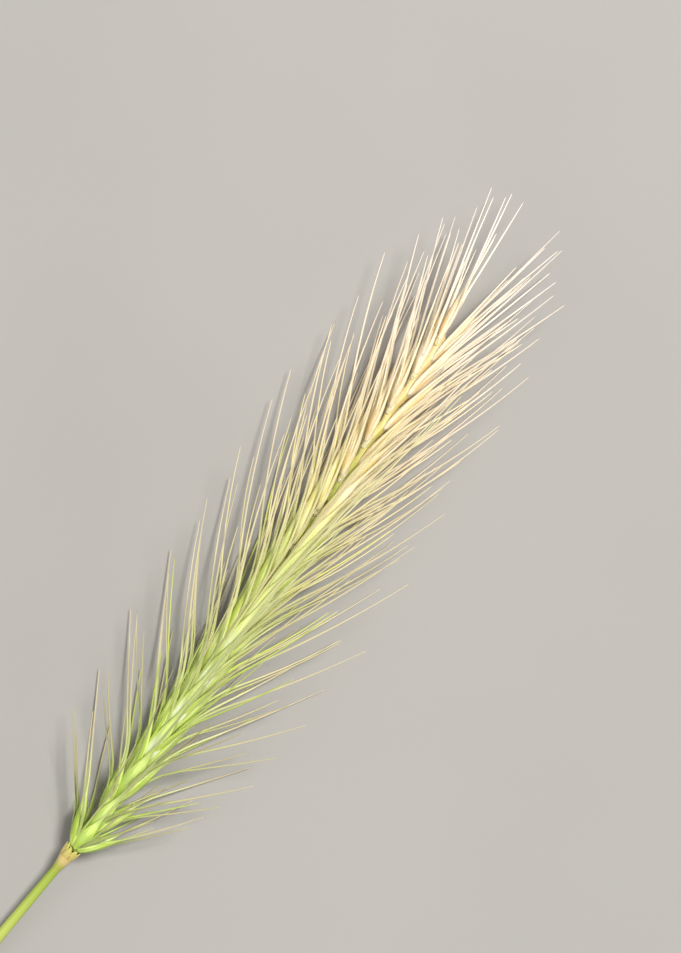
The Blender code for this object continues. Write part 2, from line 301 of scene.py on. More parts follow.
def axis_frame(s):
    """Point, direction along the ear, and the unit vectors to its left and upwards."""
    here = axis_point(s)
    along = (axis_point(s + AXIS_STEP) - here).normalized()
    left = UP.cross(along).normalized()
    return here, along, left, along.cross(left)


def outward(left, up, azimuth):
    """The direction away from the axis at an azimuth in degrees: 0 is to the left, and 90 upwards."""
    return left * math.cos(math.radians(azimuth)) + up * math.sin(math.radians(azimuth))


def soft_floor(height, floor):
    """The greater of the two, with a smooth bend where they meet."""
    if abs(height - floor) >= SETTLE:
        return max(height, floor)
    return (height + floor) / 2 + (height - floor) ** 2 / (4 * SETTLE) + SETTLE / 4


def grow(root, along, out, leans, reach, floor, aside=Vector()):
    """A bristle's line, as STEPS + 1 points. It leans out from the axis and settles on the floor.

    Where it starts inside a husk, it comes out of it sideways by the vector aside.
    """
    points = [root]
    for step in range(STEPS):
        lean = math.radians(np.interp((step + 0.5) / STEPS, LEAN_AT, leans))
        points.append(points[-1] + (along * math.cos(lean) + out * math.sin(lean)) * (reach / STEPS))
    for step, point in enumerate(points):
        point += aside * min(1, step / STEPS / GLUME_CLEAR)
        point.z = soft_floor(point.z, floor + AWN_MID * MM)
    return points


def bend_to_surface(points):
    """Lowers the outer part of a line until its tip is at height 0."""
    drop = points[-1].z
    for i, point in enumerate(points):
        point.z -= drop * (i / STEPS) ** 3


def section(points, share, out):
    """Point, outward and sideways unit vectors and direction of a line at a share of its length."""
    at = min(share * STEPS, STEPS - 1e-6)
    i = int(at)
    here = points[i].lerp(points[i + 1], at - i)
    ahead = (points[i + 1] - points[i]).normalized()
    if at - i > 0.5 and i + 2 < len(points):
        ahead = ahead.lerp((points[i + 2] - points[i + 1]).normalized(), at - i - 0.5).normalized()
    out = (out - ahead * out.dot(ahead)).normalized()
    return here, out, ahead.cross(out), ahead


class Growth:
    """A mesh of many closed shoots, with the values that its material reads at each point."""

    def __init__(self):
        self.points = []
        self.faces = []
        self.values = []

    def shoot(self, rings, ring_values, tip, tip_values):
        """A closed solid through equal rings, with a flat foot and a pointed tip."""
        base = len(self.points)
        count = len(rings[0])
        for ring, values in zip(rings, ring_values):
            self.points += ring
            self.values += values
        self.points.append(tip)
        self.values.append(tip_values)
        point = base + count * len(rings)
        for r in range(len(rings) - 1):
            low = base + r * count
            for i in range(count):
                j = (i + 1) % count
                self.faces.append((low + i, low + j, low + count + j, low + count + i))
        last = point - count
        for i in range(count):
            self.faces.append((last + i, last + (i + 1) % count, point))
        self.faces.append(tuple(base + i for i in reversed(range(count))))

    def hair(self, root, direction, length, radius, droop, values):
        """A fine hair that bends a little on its way."""
        across = UP if abs(direction.z) < HAIR_STEEP else Vector((1, 0, 0))
        side = direction.cross(across).normalized()
        other = side.cross(direction).normalized()
        rings = []
        for share in HAIR_RINGS:
            here = root + direction * length * share + droop * share * share
            thick = radius * (1 - HAIR_TAPER * share)
            ring = []
            for k in range(HAIR_SIDES):
                turn = 2 * math.pi * k / HAIR_SIDES
                ring.append(here + (other * math.cos(turn) - side * math.sin(turn)) * thick)
            rings.append(ring)
        ring_values = [[values] * HAIR_SIDES] * len(HAIR_RINGS)
        self.shoot(rings, ring_values, root + direction * length + droop, values)

    def finish(self, name, node, slot, material):
        """The piece of all its shoots, in place of one node of the solids."""
        mesh = bpy.data.meshes.new(name)
        mesh.from_pydata([p + EAR_SHIFT for p in self.points], [], self.faces)
        mesh.polygons.foreach_set("use_smooth", [True] * len(mesh.polygons))
        table = np.array(self.values, dtype=np.float32)
        for column, value in enumerate(VALUES):
            layer = mesh.attributes.new(value, "FLOAT", "POINT")
            layer.data.foreach_set("value", np.ascontiguousarray(table[:, column]))
        mesh.update()
        piece = bpy.data.objects.new(name, mesh)
        bpy.context.scene.collection.objects.link(piece)
        mesh.materials.append(material)
        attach(piece, "root")
        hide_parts(node)
        return piece


def rounded(line, out, share, wide, thick, sides, rib, floor):
    """A ring of points round a line: an oval, ribbed and flatter on its inner side where rib is set."""
    here, outer, side, _ = section(line, share, out)
    ring = []
    for k in range(sides):
        turn = 2 * math.pi * k / sides
        swell = 1 + (rib if k % 2 == 0 else -rib)
        over = math.cos(turn) * thick * swell
        if rib and over < 0:
            over *= INNER_SIDE
        point = here + (side * math.sin(turn) * wide * swell + outer * over) * MM
        point.z = max(point.z, floor)
        ring.append(point)
    return ring


def outward_values(ripe, at, tone, sides):
    """The material's values round a ring. The last one is 0 on the outer side and 1 on the inner."""
    return [(ripe, at, tone, (1 - math.cos(2 * math.pi * k / sides)) / 2) for k in range(sides)]


def husk_with_awn(growth, line, out, husk_share, size, floor, ripe, tone):
    """A ribbed husk that runs out into its awn. Returns the shares and half widths of the awn."""
    rings = []
    values = []
    for at, wide, thick in zip(HUSK_AT, HUSK_WIDE, HUSK_THICK):
        rib = RIB * min(1, RIB_RISE * at, max(0, HUSK_AT[-1] - at) * RIB_FALL)
        share = at * husk_share
        rings.append(rounded(line, out, share, wide * size, thick * size, HUSK_SIDES, rib, floor))
        values.append(outward_values(ripe, at, tone, HUSK_SIDES))
    start = HUSK_AT[-1] * husk_share
    shares = [start, start * (1 - AWN_FINE_AT) + AWN_FINE_AT, AWN_LAST]
    halves = [HUSK_WIDE[-1] * size, AWN_FINE, AWN_END]
    for i in range(1, AWN_RINGS + 1):
        share = start + (AWN_LAST - start) * i / AWN_RINGS
        half = float(np.interp(share, shares, halves))
        rings.append(rounded(line, out, share, half, half, HUSK_SIDES, 0, floor))
        at = HUSK_AT[-1] + (REACH_AT_TIP - HUSK_AT[-1]) * (share - start) / (1 - start)
        values.append(outward_values(ripe, at, tone, HUSK_SIDES))
    growth.shoot(rings, values, line[-1], (ripe, REACH_AT_TIP, tone, HALFWAY_ROUND))
    return shares, halves


def bristle(growth, line, out, shape, floor, ripe, tone):
    """A round or flat bristle that starts inside a husk's foot and runs beside it."""
    rings = []
    values = []
    for share, wide, thick in zip(*shape):
        rings.append(rounded(line, out, share, wide, thick, GLUME_SIDES, 0, floor))
        values.append(outward_values(ripe, REACH_AT_TIP * share, tone, GLUME_SIDES))
    growth.shoot(rings, values, line[-1], (ripe, REACH_AT_TIP, tone, HALFWAY_ROUND))


def barbs(growth, line, out, shares, halves, ripe, tone, fine):
    """The short teeth that make an awn rough. They point towards its tip."""
    share = shares[0]
    while share < BARB_LAST:
        here, outer, side, ahead = section(line, share, out)
        turn = fine.uniform(0, 2 * math.pi)
        away = outer * math.cos(turn) + side * math.sin(turn)
        half = float(np.interp(share, shares, halves)) * MM
        direction = (ahead + away * BARB_LEAN).normalized()
        length = fine.uniform(*BARB_LENGTH) * MM
        if here.z > BARB_FLOOR:
            root = here + away * half * BARB_ROOT
            values = (ripe, BARB_REACH, tone, HALFWAY_ROUND)
            growth.hair(root, direction, length, BARB_RADIUS, Vector(), values)
        share += fine.uniform(*BARB_STEP)


def fringe(growth, line, out, shape, ripe, fine):
    """Fine hairs along both edges of a flat glume."""
    shares, wides, _ = shape
    share = FRINGE_FIRST
    while share < FRINGE_LAST:
        here, _, side, ahead = section(line, share, out)
        wide = float(np.interp(share, shares, wides)) * MM
        for away in (-side, side):
            direction = ahead * fine.uniform(*FRINGE_AHEAD) + away * fine.uniform(*FRINGE_ASIDE)
            length = fine.uniform(*FRINGE_LENGTH) * MM
            droop = ahead * length * fine.uniform(*FRINGE_DROOP)
            values = (ripe, 1, fine.random(), HALFWAY_ROUND)
            if here.z > HAIR_FLOOR:
                root = here + away * wide * FRINGE_ROOT
                growth.hair(root, direction.normalized(), length, HAIR_RADIUS, droop, values)
        share += fine.uniform(*FRINGE_STEP)


def middle_azimuth(number):
    """Where the middle spikelet of a joint points: by turns to the left and to the right."""
    return along_ear(TWIST, number / (NODE_COUNT - 1)) + (0 if number % 2 == 0 else 180)


def spikelet(number, side, floor, draw, fine, grown):
    """One husk with its awn, and its glumes."""
    share = number / (NODE_COUNT - 1)
    here, along, left, up = axis_frame(joint_at(number))
    lean_scale = SIDE_LEAN if side else LAST_LEAN if number == NODE_COUNT - 1 else 1.0
    if (number, side) == (LOWEST, -1):
        lean_scale = LOWEST_FRONT_LEAN
    azimuth = middle_azimuth(number) + side * along_ear(SIDE_AZIMUTH, share)
    azimuth += draw.uniform(-TURN_SPREAD, TURN_SPREAD)
    out = outward(left, up, azimuth)
    change = draw.uniform(-LEAN_SPREAD, LEAN_SPREAD)
    leans = [along_ear(LEAN_HUSK, share) * lean_scale] * 2
    leans += [along_ear(row, share) * lean_scale + change for row in (LEAN_SHOULDER, LEAN_TIP)]
    reach = along_ear(AWN_REACH, share) * MM * (1 + draw.uniform(-REACH_SPREAD, REACH_SPREAD))
    husk_share = along_ear(HUSK_LENGTH, share) * MM / reach
    root = here + out * along_ear(ROOT_OUT, share) * MM - along * ROOT_SUNK
    floor += draw.uniform(0, FLOOR_SPREAD)
    line = grow(root, along, out, leans, reach, floor)
    resting = (number, side) in RESTING_AWNS
    if resting:
        bend_to_surface(line)
    ripe = share + fine.uniform(-RIPE_SPREAD, RIPE_SPREAD)
    tone = fine.random() * TONE_SHARE
    # Husks that face up get a fixed tone that marks them for the painted highlight and keeps them from
    # random darkening.
    if out.z > HIGHLIGHT_UPWARD:
        tone = HIGHLIGHT_TONE
    size = along_ear(HUSK_SIZE, share)
    husk_floor = 0 if resting else floor
    awn = husk_with_awn(grown["husks"], line, out, husk_share, size, husk_floor, ripe, tone)
    barbs(grown["husks"], line, out, *awn, ripe, tone, fine)
    foot = (root, along, left, up, out, azimuth)
    if side:
        turns = (side * GLUME_TURN, -side * GLUME_TURN)
        side_glumes(grown["glumes"], foot, turns, leans, reach, floor, ripe, draw, fine)
    else:
        middle_glumes(grown["glumes"], grown["hairs"], foot, leans, reach, floor, size, ripe, fine)


def glume_foot(foot, turn):
    """Where a glume starts inside its husk, its outward direction, and the way out of the husk."""
    root, along, left, up, out, azimuth = foot
    turned = outward(left, up, azimuth + turn)
    sideways = (turned - out * turned.dot(out)).normalized()
    return root + along * GLUME_ROOT + turned * GLUME_ROOT / 3, turned, sideways


def side_glumes(glumes, foot, turns, leans, reach, floor, ripe, draw, fine):
    """The two thin bristles of a side spikelet."""
    along = foot[1]
    outer = slice(FIRST_BARBED, None)
    for turn in turns:
        inside, turned, sideways = glume_foot(foot, turn + draw.uniform(-TURN_SPREAD, TURN_SPREAD) / 2)
        glume_leans = [lean + draw.uniform(0, 2 * LEAN_SPREAD) for lean in leans]
        glume_reach = reach * (GLUME_REACH + draw.uniform(-REACH_SPREAD, REACH_SPREAD))
        floor += draw.uniform(0, FLOOR_SPREAD)
        aside = sideways * GLUME_SIDE_STEP
        line = grow(inside, along, turned, glume_leans, glume_reach, floor, aside)
        tone = fine.random()
        bristle(glumes, line, turned, (GLUME_AT, GLUME_HALF, GLUME_HALF), floor, ripe, tone)
        barbs(glumes, line, turned, GLUME_AT[outer], GLUME_HALF[outer], ripe, tone, fine)


def middle_glumes(glumes, hairs, foot, leans, reach, floor, size, ripe, fine):
    """The two flat, hairy blades of a middle spikelet."""
    along = foot[1]
    blade = (BLADE_AT, BLADE_WIDE, BLADE_THICK)
    for turn in (-BLADE_TURN, BLADE_TURN):
        inside, turned, sideways = glume_foot(foot, turn)
        blade_leans = [lean + fine.uniform(0, 2 * LEAN_SPREAD) for lean in leans]
        blade_reach = reach * (BLADE_REACH + fine.uniform(-REACH_SPREAD, REACH_SPREAD))
        aside = sideways * BLADE_SIDE_STEP * size
        line = grow(inside, along, turned, blade_leans, blade_reach, floor, aside)
        bristle(glumes, line, turned, blade, floor, ripe, fine.random())
        fringe(hairs, line, turned, blade, ripe, fine)


def triplet(number, floor, draw, fine, grown):
    """The three spikelets that share a joint."""
    for side in (0, -1, 1):
        spikelet(number, side, floor, draw, fine, grown)


def node_point(number):
    """A joint of the rachis, on the side where it carries its spikelets."""
    here, _, left, up = axis_frame(joint_at(number))
    return here + outward(left, up, middle_azimuth(number)) * RACHIS_ZIGZAG


def rachis(growth, hairs, numbers, start, fine):
    """The zigzag stalk inside the ear, with a fringe of hairs along its edges."""
    rings = []
    values = []
    foot = axis_point(start)
    foot_half = RACHIS_FIRST_FOOT if numbers[0] == 0 else STRAW_FIRST_FOOT
    for number in numbers:
        top = node_point(number)
        _, along, left, up = axis_frame(top.x)
        ripe = number / (NODE_COUNT - 1)
        tone = fine.random()
        for at in RACHIS_AT:
            here = foot.lerp(top, at)
            half = foot_half + (RACHIS_TOP - foot_half) * at * at
            ring = []
            for k in range(RACHIS_SIDES):
                turn = 2 * math.pi * k / RACHIS_SIDES
                ridge = 1 + (RACHIS_RIB if k % 2 == 0 else -RACHIS_RIB)
                across = math.cos(turn) * RACHIS_BROAD
                ring.append(here + (left * across + up * math.sin(turn) * RACHIS_FLAT) * half * ridge)
            rings.append(ring)
            values.append(outward_values(ripe, at, tone, RACHIS_SIDES))
        for _ in range(RACHIS_HAIRS):
            at = fine.uniform(*RACHIS_HAIR_AT)
            away = (left * fine.choice((-1, 1)) + up * fine.uniform(*RACHIS_HAIR_UP)).normalized()
            half = foot_half + (RACHIS_TOP - foot_half) * at * at
            direction = (away + along * fine.uniform(*RACHIS_HAIR_AHEAD)).normalized()
            root = foot.lerp(top, at) + away * half * RACHIS_HAIR_ROOT
            length = fine.uniform(*RACHIS_HAIR_LENGTH) * MM
            hair_values = (ripe, 1, fine.random(), HALFWAY_ROUND)
            hairs.hair(root, direction, length, HAIR_RADIUS, Vector(), hair_values)
        foot = top + along * RACHIS_STEP
        foot_half = RACHIS_FOOT
    growth.shoot(rings, values, top + along * RACHIS_END, (ripe, 1, tone, HALFWAY_ROUND))


def scales(growth, hairs, numbers, fine):
    """Small glassy scales, with fine hairs, on the joints where the stalk shows between the husks."""
    for number in numbers:
        if number < FIRST_SCALE:
            continue
        _, along, left, up = axis_frame(joint_at(number))
        face = 1 if number % 2 == 0 else -1
        ripe = number / (NODE_COUNT - 1)
        tone = fine.random()
        root = node_point(number) + (up * face * SCALE_LIFT - along * SCALE_BACK + left * SCALE_LEFT) * MM
        ahead = (along + left * SCALE_TURN + up * face * SCALE_TILT).normalized()
        across = ahead.cross(up * face).normalized()
        over = across.cross(ahead)
        length = fine.uniform(*SCALE_LENGTH) * MM
        rings = []
        values = []
        for at, wide in zip(SCALE_AT, SCALE_WIDE):
            here = root + ahead * length * at
            ring = []
            ring_values = []
            for k in range(SCALE_SIDES):
                turn = 2 * math.pi * k / SCALE_SIDES
                flute = 1 + (SCALE_FLUTE if k % 2 == 0 else -SCALE_FLUTE)
                high = SCALE_DOME * math.cos(turn) ** 2 * wide + math.cos(turn) * SCALE_THICK * flute
                ring.append(here + (across * math.sin(turn) * wide + over * high) * MM)
                ring_values.append((ripe, at, tone, abs(math.sin(turn))))
            rings.append(ring)
            values.append(ring_values)
        growth.shoot(rings, values, root + ahead * length, (ripe, 1, tone, 0))
        for _ in range(SCALE_HAIRS):
            at = fine.uniform(*SCALE_HAIR_AT)
            wide = float(np.interp(at, SCALE_AT, SCALE_WIDE)) * fine.uniform(*SCALE_HAIR_ASIDE)
            start = root + ahead * length * at + (across * wide + over * SCALE_HAIR_LIFT) * MM
            direction = across * fine.uniform(*SCALE_HAIR_ACROSS) + ahead * fine.uniform(*SCALE_HAIR_AHEAD)
            direction = (direction + over * SCALE_HAIR_UP).normalized()
            reach = fine.uniform(*SCALE_HAIR_LENGTH) * MM
            hair_values = (1, 1, fine.random(), HALFWAY_ROUND)
            hairs.hair(start, direction, reach, HAIR_RADIUS, Vector(), hair_values)


def ring_round(here, s, radius, ridge):
    """A ring of points round the stem, with a fine ridge at every second one."""
    _, _, left, up = axis_frame(s)
    ring = []
    for k in range(STEM_SIDES):
        turn = 2 * math.pi * k / STEM_SIDES
        swell = 1 + (ridge if k % 2 == 0 else -ridge)
        ring.append(here + (left * math.cos(turn) + up * math.sin(turn)) * radius * swell)
    return ring


def stem(fine):
    """The straw: finely ridged, hollow where it was cut, and flared into a cup with a ragged rim."""
    growth = Growth()
    flare = FLARE_AT[0] * MM
    end = FLARE_AT[-1] * MM
    places = [-STEM_LENGTH] + [at * MM for at in FLARE_AT]
    radii = [STEM_RADIUS_AT_CUT] + [radius * MM for radius in FLARE_RADIUS]
    rings = []
    values = []
    for depth, radius, inside in (
        (STEM_HOLLOW_DEPTH, STEM_HOLLOW_RADIUS, 1),
        (STEM_HOLLOW_DEPTH / 2, STEM_HOLLOW_RADIUS, 1),
        (HOLLOW_MOUTH, STEM_HOLLOW_RADIUS, 1),
        (0, STEM_HOLLOW_RADIUS + HOLLOW_BEVEL, 0.8),
        (0, STEM_RADIUS_AT_CUT - CUT_BEVEL, 0.6),
    ):
        s = -STEM_LENGTH + depth
        rings.append(ring_round(axis_point(s), s, radius, 0))
        values.append([(0, 0, STEM_TONE, inside)] * STEM_SIDES)
    stations = list(np.linspace(-STEM_LENGTH, flare, STEM_RINGS))
    stations += list(np.linspace(flare, end, FLARE_RINGS))[1:]
    for s in stations:
        radius = float(np.interp(s, places, radii))
        ridge = STEM_RIDGE * max(0, min(1, 1 - (s - flare) / FLARE_SMOOTH))
        rings.append(ring_round(axis_point(s), s, radius, ridge))
        values.append([(0, (s + STEM_LENGTH) / STEM_LENGTH, STEM_TONE, 0)] * STEM_SIDES)
    rings.append(ring_round(axis_point(end + CUP_RISE), end, radii[-1] * CUP_FLOOR, 0))
    values.append([(0, 1, STEM_TONE, 0)] * STEM_SIDES)
    growth.shoot(rings, values, axis_point(end + CUP_TOP), (0, 1, STEM_TONE, 0))
    for k in range(RIM_LOBES):
        rim_lobe(growth, 360 * (k + fine.uniform(-RIM_SPREAD, RIM_SPREAD)) / RIM_LOBES, fine)
    return growth


def rim_lobe(growth, azimuth, fine):
    """One thin lobe of the cup's rim, which leans against the lowest husks."""
    _, along, left, up = axis_frame(0)
    out = outward(left, up, azimuth)
    across = along.cross(out)
    length = fine.uniform(*RIM_LENGTH)
    lean = fine.uniform(*RIM_LEAN)
    tone = fine.random()
    rings = []
    values = []
    for at, wide in zip(RIM_AT, RIM_WIDE):
        s = (RIM_FOOT + length * at) * MM
        wall = float(np.interp(RIM_FOOT + length * at, FLARE_AT, FLARE_RADIUS))
        radius = wall + lean * at * at - RIM_SUNK * max(0, 1 - at / RIM_AT[1])
        ring = []
        for k in range(RIM_SIDES):
            turn = 2 * math.pi * k / RIM_SIDES
            aside = math.sin(turn) * wide
            away = radius + math.cos(turn) * RIM_THICK - aside * aside / (2 * RIM_RADIUS)
            ring.append(axis_point(0) + along * s + (out * away + across * aside) * MM)
        rings.append(ring)
        values.append([(0, 1 + RIM_BEYOND * at, tone, 0)] * RIM_SIDES)
    tip = axis_point(0) + along * (length + RIM_FOOT) * MM + out * (RIM_RADIUS + lean) * MM
    growth.shoot(rings, values, tip, (0, 1 + RIM_BEYOND, tone, 0))


def display(red, green, blue):
    """A colour as it is seen on a display, from 0 to 255, turned into the linear values of a shader."""
    parts = []
    for part in (red, green, blue):
        part /= 255
        parts.append(part / 12.92 if part <= 0.04045 else ((part + 0.055) / 1.055) ** 2.4)
    return (*parts, 1)


class Nodes:
    """A material with its shader, and short ways to add nodes to it."""

    def __init__(self, name, **settings):
        self.material = bpy.data.materials.new(name)
        self.material.use_nodes = True
        self.tree = self.material.node_tree
        self.shader = self.tree.nodes["Principled BSDF"]
        for key, value in settings.items():
            self.shader.inputs[key.replace("_", " ")].default_value = value

    def add(self, kind, **settings):
        node = self.tree.nodes.new(kind)
        for key, value in settings.items():
            setattr(node, key, value)
        return node

    def put(self, value, socket):
        """Links an output to a socket, or sets the socket to a number or colour."""
        if isinstance(value, (int, float, tuple)):
            socket.default_value = value
        else:
            self.tree.links.new(value, socket)

    def value(self, name):
        """One of the values that each point of a grown mesh holds."""
        return self.add("ShaderNodeAttribute", attribute_name=name).outputs["Fac"]

    def ramp(self, factor, *stops):
        """Colours at places along a factor, each given as (place, red, green, blue)."""
        node = self.add("ShaderNodeValToRGB")
        elements = node.color_ramp.elements
        while len(elements) < len(stops):
            elements.new(0.5)
        for element, (at, *colour) in zip(elements, stops):
            element.position = at
            element.color = display(*colour)
        self.put(factor, node.inputs["Fac"])
        return node.outputs["Color"]

    def spread(self, factor, low, high, out_low=0.0, out_high=1.0):
        """A smooth step from out_low to out_high while the factor goes from low to high."""
        node = self.add("ShaderNodeMapRange", interpolation_type="SMOOTHSTEP")
        keys = ("Value", "From Min", "From Max", "To Min", "To Max")
        for key, number in zip(keys, (factor, low, high, out_low, out_high)):
            self.put(number, node.inputs[key])
        return node.outputs["Result"]

    def mix(self, factor, first, second, blend="MIX"):
        node = self.add("ShaderNodeMix", data_type="RGBA", blend_type=blend)
        for number, value in ((0, factor), (6, first), (7, second)):
            self.put(value, node.inputs[number])
        return node.outputs[2]

    def shade(self, factor, low, high, colour, darkest):
        """The colour, darker where the factor is near low, down to a grey level of darkest."""
        level = self.spread(factor, low, high, darkest, 1.0)
        grey = self.add("ShaderNodeCombineColor")
        for socket in grey.inputs[:3]:
            self.put(level, socket)
        return self.mix(1.0, colour, grey.outputs["Color"], "MULTIPLY")

    def times(self, first, second):
        node = self.add("ShaderNodeMath", operation="MULTIPLY")
        self.put(first, node.inputs[0])
        self.put(second, node.inputs[1])
        return node.outputs["Value"]

    def streaks(self, across, lengthwise, detail=3):
        """Noise that is drawn out along each shoot, different on each one."""
        place = self.add("ShaderNodeCombineXYZ")
        self.put(self.times(self.value("edge"), across), place.inputs["X"])
        self.put(self.times(self.value("reach"), lengthwise), place.inputs["Y"])
        self.put(self.times(self.value("tone"), STREAK_APART), place.inputs["Z"])
        noise = self.add("ShaderNodeTexNoise")
        self.put(1.0, noise.inputs["Scale"])
        self.put(detail, noise.inputs["Detail"])
        self.put(place.outputs["Vector"], noise.inputs["Vector"])
        return noise.outputs["Fac"]

    def finish(self, colour, bump=None, depth=0.0):
        """The material with this colour, and a bump of so many metres where one is given."""
        self.put(colour, self.shader.inputs["Base Color"])
        if bump:
            node = self.add("ShaderNodeBump")
            self.put(BUMP_STRENGTH, node.inputs["Strength"])
            self.put(depth, node.inputs["Distance"])
            self.put(bump, node.inputs["Height"])
            self.put(node.outputs["Normal"], self.shader.inputs["Normal"])
        return self.material


def husk_material():
    """Lime green at the foot of the ear and cream at its tip, with pale edges, tinted awns and a painted
    highlight on the husks that face up.
    """
    nodes = Nodes(
        "husk",
        Roughness=0.38,
        Subsurface_Weight=0.2,
        Subsurface_Radius=(0.6, 0.7, 0.25),
        Subsurface_Scale=0.0006,
        Coat_Weight=0.15,
        Coat_Roughness=0.25,
    )
    ripe = nodes.value("ripe")
    reach = nodes.value("reach")
    edge = nodes.value("edge")
    tone = nodes.value("tone")
    body = nodes.ramp(
        ripe,
        (0.0, 174, 202, 70),
        (0.25, 190, 212, 92),
        (0.5, 208, 217, 112),
        (0.62, 230, 216, 128),
        (0.72, 244, 214, 146),
        (1.0, 244, 214, 156),
    )
    pale = nodes.ramp(
        ripe,
        (0.0, 224, 240, 136),
        (0.3, 236, 246, 160),
        (0.55, 246, 244, 184),
        (0.7, 254, 246, 218),
        (1.0, 255, 248, 230),
    )
    awn = nodes.ramp(
        ripe,
        (0.0, 184, 196, 120),
        (0.25, 204, 212, 142),
        (0.48, 228, 222, 162),
        (0.66, 248, 228, 186),
        (1.0, 254, 240, 220),
    )
    tip = nodes.ramp(
        ripe,
        (0.0, 208, 194, 156),
        (0.35, 226, 210, 174),
        (0.6, 244, 224, 194),
        (1.0, 255, 240, 224),
    )

    # Pale streaks, edges and feet.
    streak = nodes.streaks(9, 1.6)
    colour = nodes.mix(nodes.spread(streak, 0.42, 0.6, 0, 0.8), body, pale)
    colour = nodes.mix(nodes.spread(edge, 0.3, 0.62, 0, 0.55), colour, pale)
    colour = nodes.mix(nodes.spread(reach, 0.02, 0.2, 0.6, 0), colour, pale)

    # A painted highlight: a cream patch on the husks that face up, fainter at the foot of the ear and in its
    # upper half.
    painted_highlight = nodes.times(nodes.spread(reach, 0.14, 0.38), nodes.spread(reach, 0.42, 0.72, 1, 0))
    painted_highlight = nodes.times(painted_highlight, nodes.spread(edge, 0.06, 0.5, 1, 0))
    painted_highlight = nodes.times(painted_highlight, nodes.spread(tone, *HIGHLIGHT_TONE_RANGE))
    painted_highlight = nodes.times(painted_highlight, nodes.spread(ripe, 0.08, 0.16, 0.1, 0.85))
    painted_highlight = nodes.times(painted_highlight, nodes.spread(ripe, 0.28, 0.5, 1, 0.4))
    colour = nodes.mix(painted_highlight, colour, display(252, 254, 218))

    # The awns, tinted towards their tips, but less on the husks that face up, which carry the painted
    # highlight.
    colour = nodes.mix(nodes.spread(reach, 0.65, 1.3), colour, awn)
    tinted = nodes.times(nodes.spread(reach, 1.1, 1.7), nodes.spread(tone, *HIGHLIGHT_TONE_RANGE, 1, 0.2))
    colour = nodes.mix(tinted, colour, tip)
    # Darker by each shoot's random tone; the husks that face up keep full brightness as part of their
    # painted highlight.
    colour = nodes.shade(tone, 0.0, 0.8, colour, 0.84)
    return nodes.finish(colour, nodes.streaks(14, 2.5), 0.00003)


def glume_material():
    """Thinner than the husks and drier, though some stay a vivid yellow-green."""
    nodes = Nodes(
        "glume",
        Roughness=0.36,
        Subsurface_Weight=0.15,
        Subsurface_Radius=(0.6, 0.7, 0.25),
        Subsurface_Scale=0.0005,
    )
    ripe = nodes.value("ripe")
    reach = nodes.value("reach")
    tone = nodes.value("tone")
    fresh = nodes.ramp(
        ripe,
        (0.0, 178, 192, 108),
        (0.3, 200, 208, 130),
        (0.5, 222, 218, 146),
        (0.7, 250, 234, 182),
        (1.0, 254, 242, 214),
    )
    vivid = nodes.ramp(
        ripe,
        (0.0, 180, 208, 66),
        (0.3, 204, 222, 84),
        (0.5, 224, 224, 108),
        (0.7, 250, 234, 170),
        (1.0, 254, 242, 214),
    )
    dry = nodes.ramp(
        ripe,
        (0.0, 196, 182, 142),
        (0.3, 216, 200, 158),
        (0.5, 238, 218, 174),
        (0.7, 250, 228, 190),
        (1.0, 255, 240, 222),
    )
    colour = nodes.mix(nodes.spread(reach, 0.55, 1.3), fresh, dry)
    colour = nodes.mix(nodes.spread(tone, 0.84, 0.88, 0, 0.8), colour, vivid)
    colour = nodes.mix(nodes.spread(nodes.streaks(7, 2), 0.45, 0.6, 0, 0.4), colour, fresh)
    colour = nodes.shade(tone, 0.0, 0.6, colour, 0.84)
    return nodes.finish(colour, nodes.streaks(10, 3), 0.00002)


def hair_material():
    """Whitish, a little greener low on the ear."""
    nodes = Nodes("hair", Roughness=0.35, Sheen_Weight=0.2)
    colour = nodes.ramp(
        nodes.value("ripe"),
        (0.0, 206, 214, 140),
        (0.5, 232, 228, 176),
        (1.0, 250, 238, 214),
    )
    colour = nodes.mix(nodes.spread(nodes.value("tone"), 0, 1, 0, 0.4), colour, display(255, 250, 235))
    return nodes.finish(colour)


def rachis_material():
    """Yellow-green below and tan towards the tip, darker at the joints and on its right side."""
    nodes = Nodes("rachis", Roughness=0.34, Coat_Weight=0.2, Coat_Roughness=0.2)
    colour = nodes.ramp(
        nodes.value("ripe"),
        (0.0, 166, 194, 60),
        (0.62, 178, 200, 66),
        (0.72, 186, 202, 90),
        (0.81, 208, 200, 114),
        (0.9, 226, 204, 146),
        (1.0, 238, 212, 166),
    )
    colour = nodes.mix(nodes.spread(nodes.value("reach"), 0.7, 1.0, 0, 0.3), colour, display(204, 166, 84))
    colour = nodes.mix(nodes.spread(nodes.streaks(16, 1), 0.45, 0.6, 0, 0.5), colour, display(240, 228, 160))
    dark = nodes.ramp(
        nodes.value("ripe"),
        (0.5, 126, 152, 40),
        (0.7, 138, 154, 50),
        (0.82, 176, 158, 76),
        (1.0, 206, 174, 114),
    )
    colour = nodes.mix(nodes.spread(nodes.value("edge"), 0.5, 0.68, 0, 0.75), colour, dark)
    return nodes.finish(colour, nodes.streaks(12, 1), 0.00003)


def scale_material():
    """A glassy, greyish film with fine cross lines."""
    nodes = Nodes("scale", Roughness=0.15, Coat_Weight=0.6, Coat_Roughness=0.08)
    lines = nodes.spread(nodes.streaks(1.5, 34, 1), 0.5, 0.62)
    thin = nodes.mix(lines, display(196, 188, 136), display(232, 228, 200))
    colour = nodes.mix(nodes.spread(nodes.value("edge"), 0.5, 1.0, 0, 0.6), thin, display(214, 200, 130))
    return nodes.finish(colour, lines, 0.00002)


